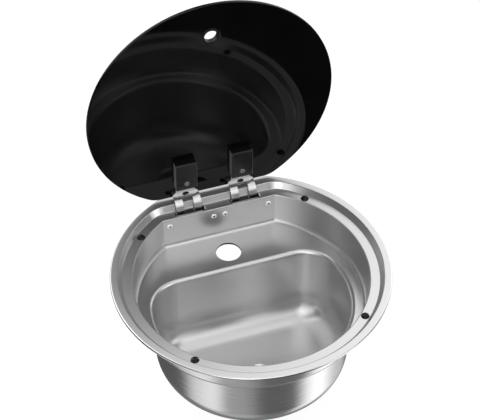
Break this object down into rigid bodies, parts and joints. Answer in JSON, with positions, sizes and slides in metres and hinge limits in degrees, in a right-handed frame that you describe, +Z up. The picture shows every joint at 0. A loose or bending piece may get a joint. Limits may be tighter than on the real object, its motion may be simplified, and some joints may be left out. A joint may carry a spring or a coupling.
{
  "type": "caravan sink with hinged glass lid",
  "caption": "Round drop-in stainless sink with a D-shaped tub, a tap shelf and a black glass lid that folds down flush on gooseneck hinges.",
  "frame": {"origin": "centre of the rim circle on the worktop that the rim stands on", "axes": "+Z up out of the basin, +Y from the basin to the hinges of the lid, +X to the right for a person in front"},
  "size_m": [0.4199, 0.42, 0.6053],
  "materials": {
    "bowl_steel": "satin",
    "seal_rubber": "matt",
    "buffer_rubber": "satin",
    "rivet_steel": "bright",
    "bracket_steel": "satin",
    "pin_steel": "ground",
    "clip_steel": "oiled",
    "sleeve_plastic": "matt",
    "washer_plastic": "matt",
    "spring_steel": "ground",
    "strainer_chrome": "polished",
    "gasket_rubber": "matt",
    "drain_plastic": "matt",
    "screw_steel": "bright",
    "lid_glass": "polished, black",
    "grommet_rubber": "satin",
    "arm_steel": "satin",
    "cover_plastic": "glossy",
    "pad_rubber": "matt",
    "plate_metal": "satin",
    "black_screw": "blackened"
  },
  "bodies": {
    "sink": {"sink_bowl": "bowl_steel", "rim_seal": "seal_rubber", "lid_buffers": "buffer_rubber", "wall_rivets": "rivet_steel", "hinge_bracket_left": "bracket_steel", "hinge_bracket_right": "bracket_steel", "hinge_pin_left": "pin_steel", "hinge_pin_right": "pin_steel", "pin_clips": "clip_steel", "spacer_sleeves": "sleeve_plastic", "friction_washers": "washer_plastic", "disc_springs": "spring_steel", "drain_strainer": "strainer_chrome", "drain_gasket_upper": "gasket_rubber", "drain_gasket_lower": "gasket_rubber", "drain_body": "drain_plastic", "drain_screw": "screw_steel"},
    "lid": {"glass_lid": "lid_glass", "finger_grommet": "grommet_rubber", "hinge_arm_left": "arm_steel", "hinge_arm_right": "arm_steel", "hinge_cover_left": "cover_plastic", "hinge_cover_right": "cover_plastic", "arm_pad_left": "pad_rubber", "arm_pad_right": "pad_rubber", "clamp_pad_left": "pad_rubber", "clamp_pad_right": "pad_rubber", "clamp_plate_left": "plate_metal", "clamp_plate_right": "plate_metal", "cover_screws": "black_screw", "inner_clamp_screws": "screw_steel"}
  },
  "joints": [
    {"name": "lid_hinge", "type": "hinge", "parent": "sink", "child": "lid", "pos_m": [0, 0.18, -0.007], "axis": [1, 0, 0], "range_deg": [0, 88.8]}
  ]
}
